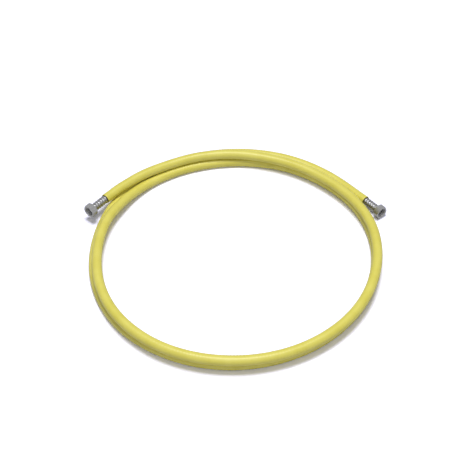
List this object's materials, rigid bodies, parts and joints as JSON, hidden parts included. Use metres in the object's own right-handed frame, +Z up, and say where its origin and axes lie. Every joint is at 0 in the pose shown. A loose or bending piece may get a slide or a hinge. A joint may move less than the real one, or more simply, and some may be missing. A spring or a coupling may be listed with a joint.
{
  "type": "flexible gas hose",
  "caption": "Long corrugated steel gas hose in a yellow plastic jacket, laid in a flat coil, with bare ridged necks and a free-turning female union nut on each end.",
  "frame": {"origin": "on the surface that the hose lies on, under the middle of the whole coil's box", "axes": "+Z up, +X from the left end to the right end, +Y towards the back of the coil, away from the way both ends point"},
  "size_m": [0.5981, 0.5767, 0.0419],
  "materials": {
    "jacket": "soft yellow extruded plastic, satin gloss",
    "corrugated_tube": "bright drawn stainless steel",
    "end_collar": "turned steel, flat sealing face",
    "union_nut": "machined steel with a dull nickel look"
  },
  "bodies": {
    "hose": {"jacket": "jacket", "corrugated_tube": "corrugated_tube", "end_collar_left": "end_collar", "end_collar_right": "end_collar"},
    "left_nut": {"union_nut_left": "union_nut"},
    "right_nut": {"union_nut_right": "union_nut"}
  },
  "joints": [
    {"name": "left_nut_swivel", "type": "hinge", "parent": "hose", "child": "left_nut", "pos_m": [-0.28251, 0.09123, 0.02877], "axis": [-0.6214, -0.7835, 0.0004], "continuous": true},
    {"name": "right_nut_swivel", "type": "hinge", "parent": "hose", "child": "right_nut", "pos_m": [0.28252, 0.10282, 0.01351], "axis": [0.615, -0.7873, 0.0436], "continuous": true}
  ]
}
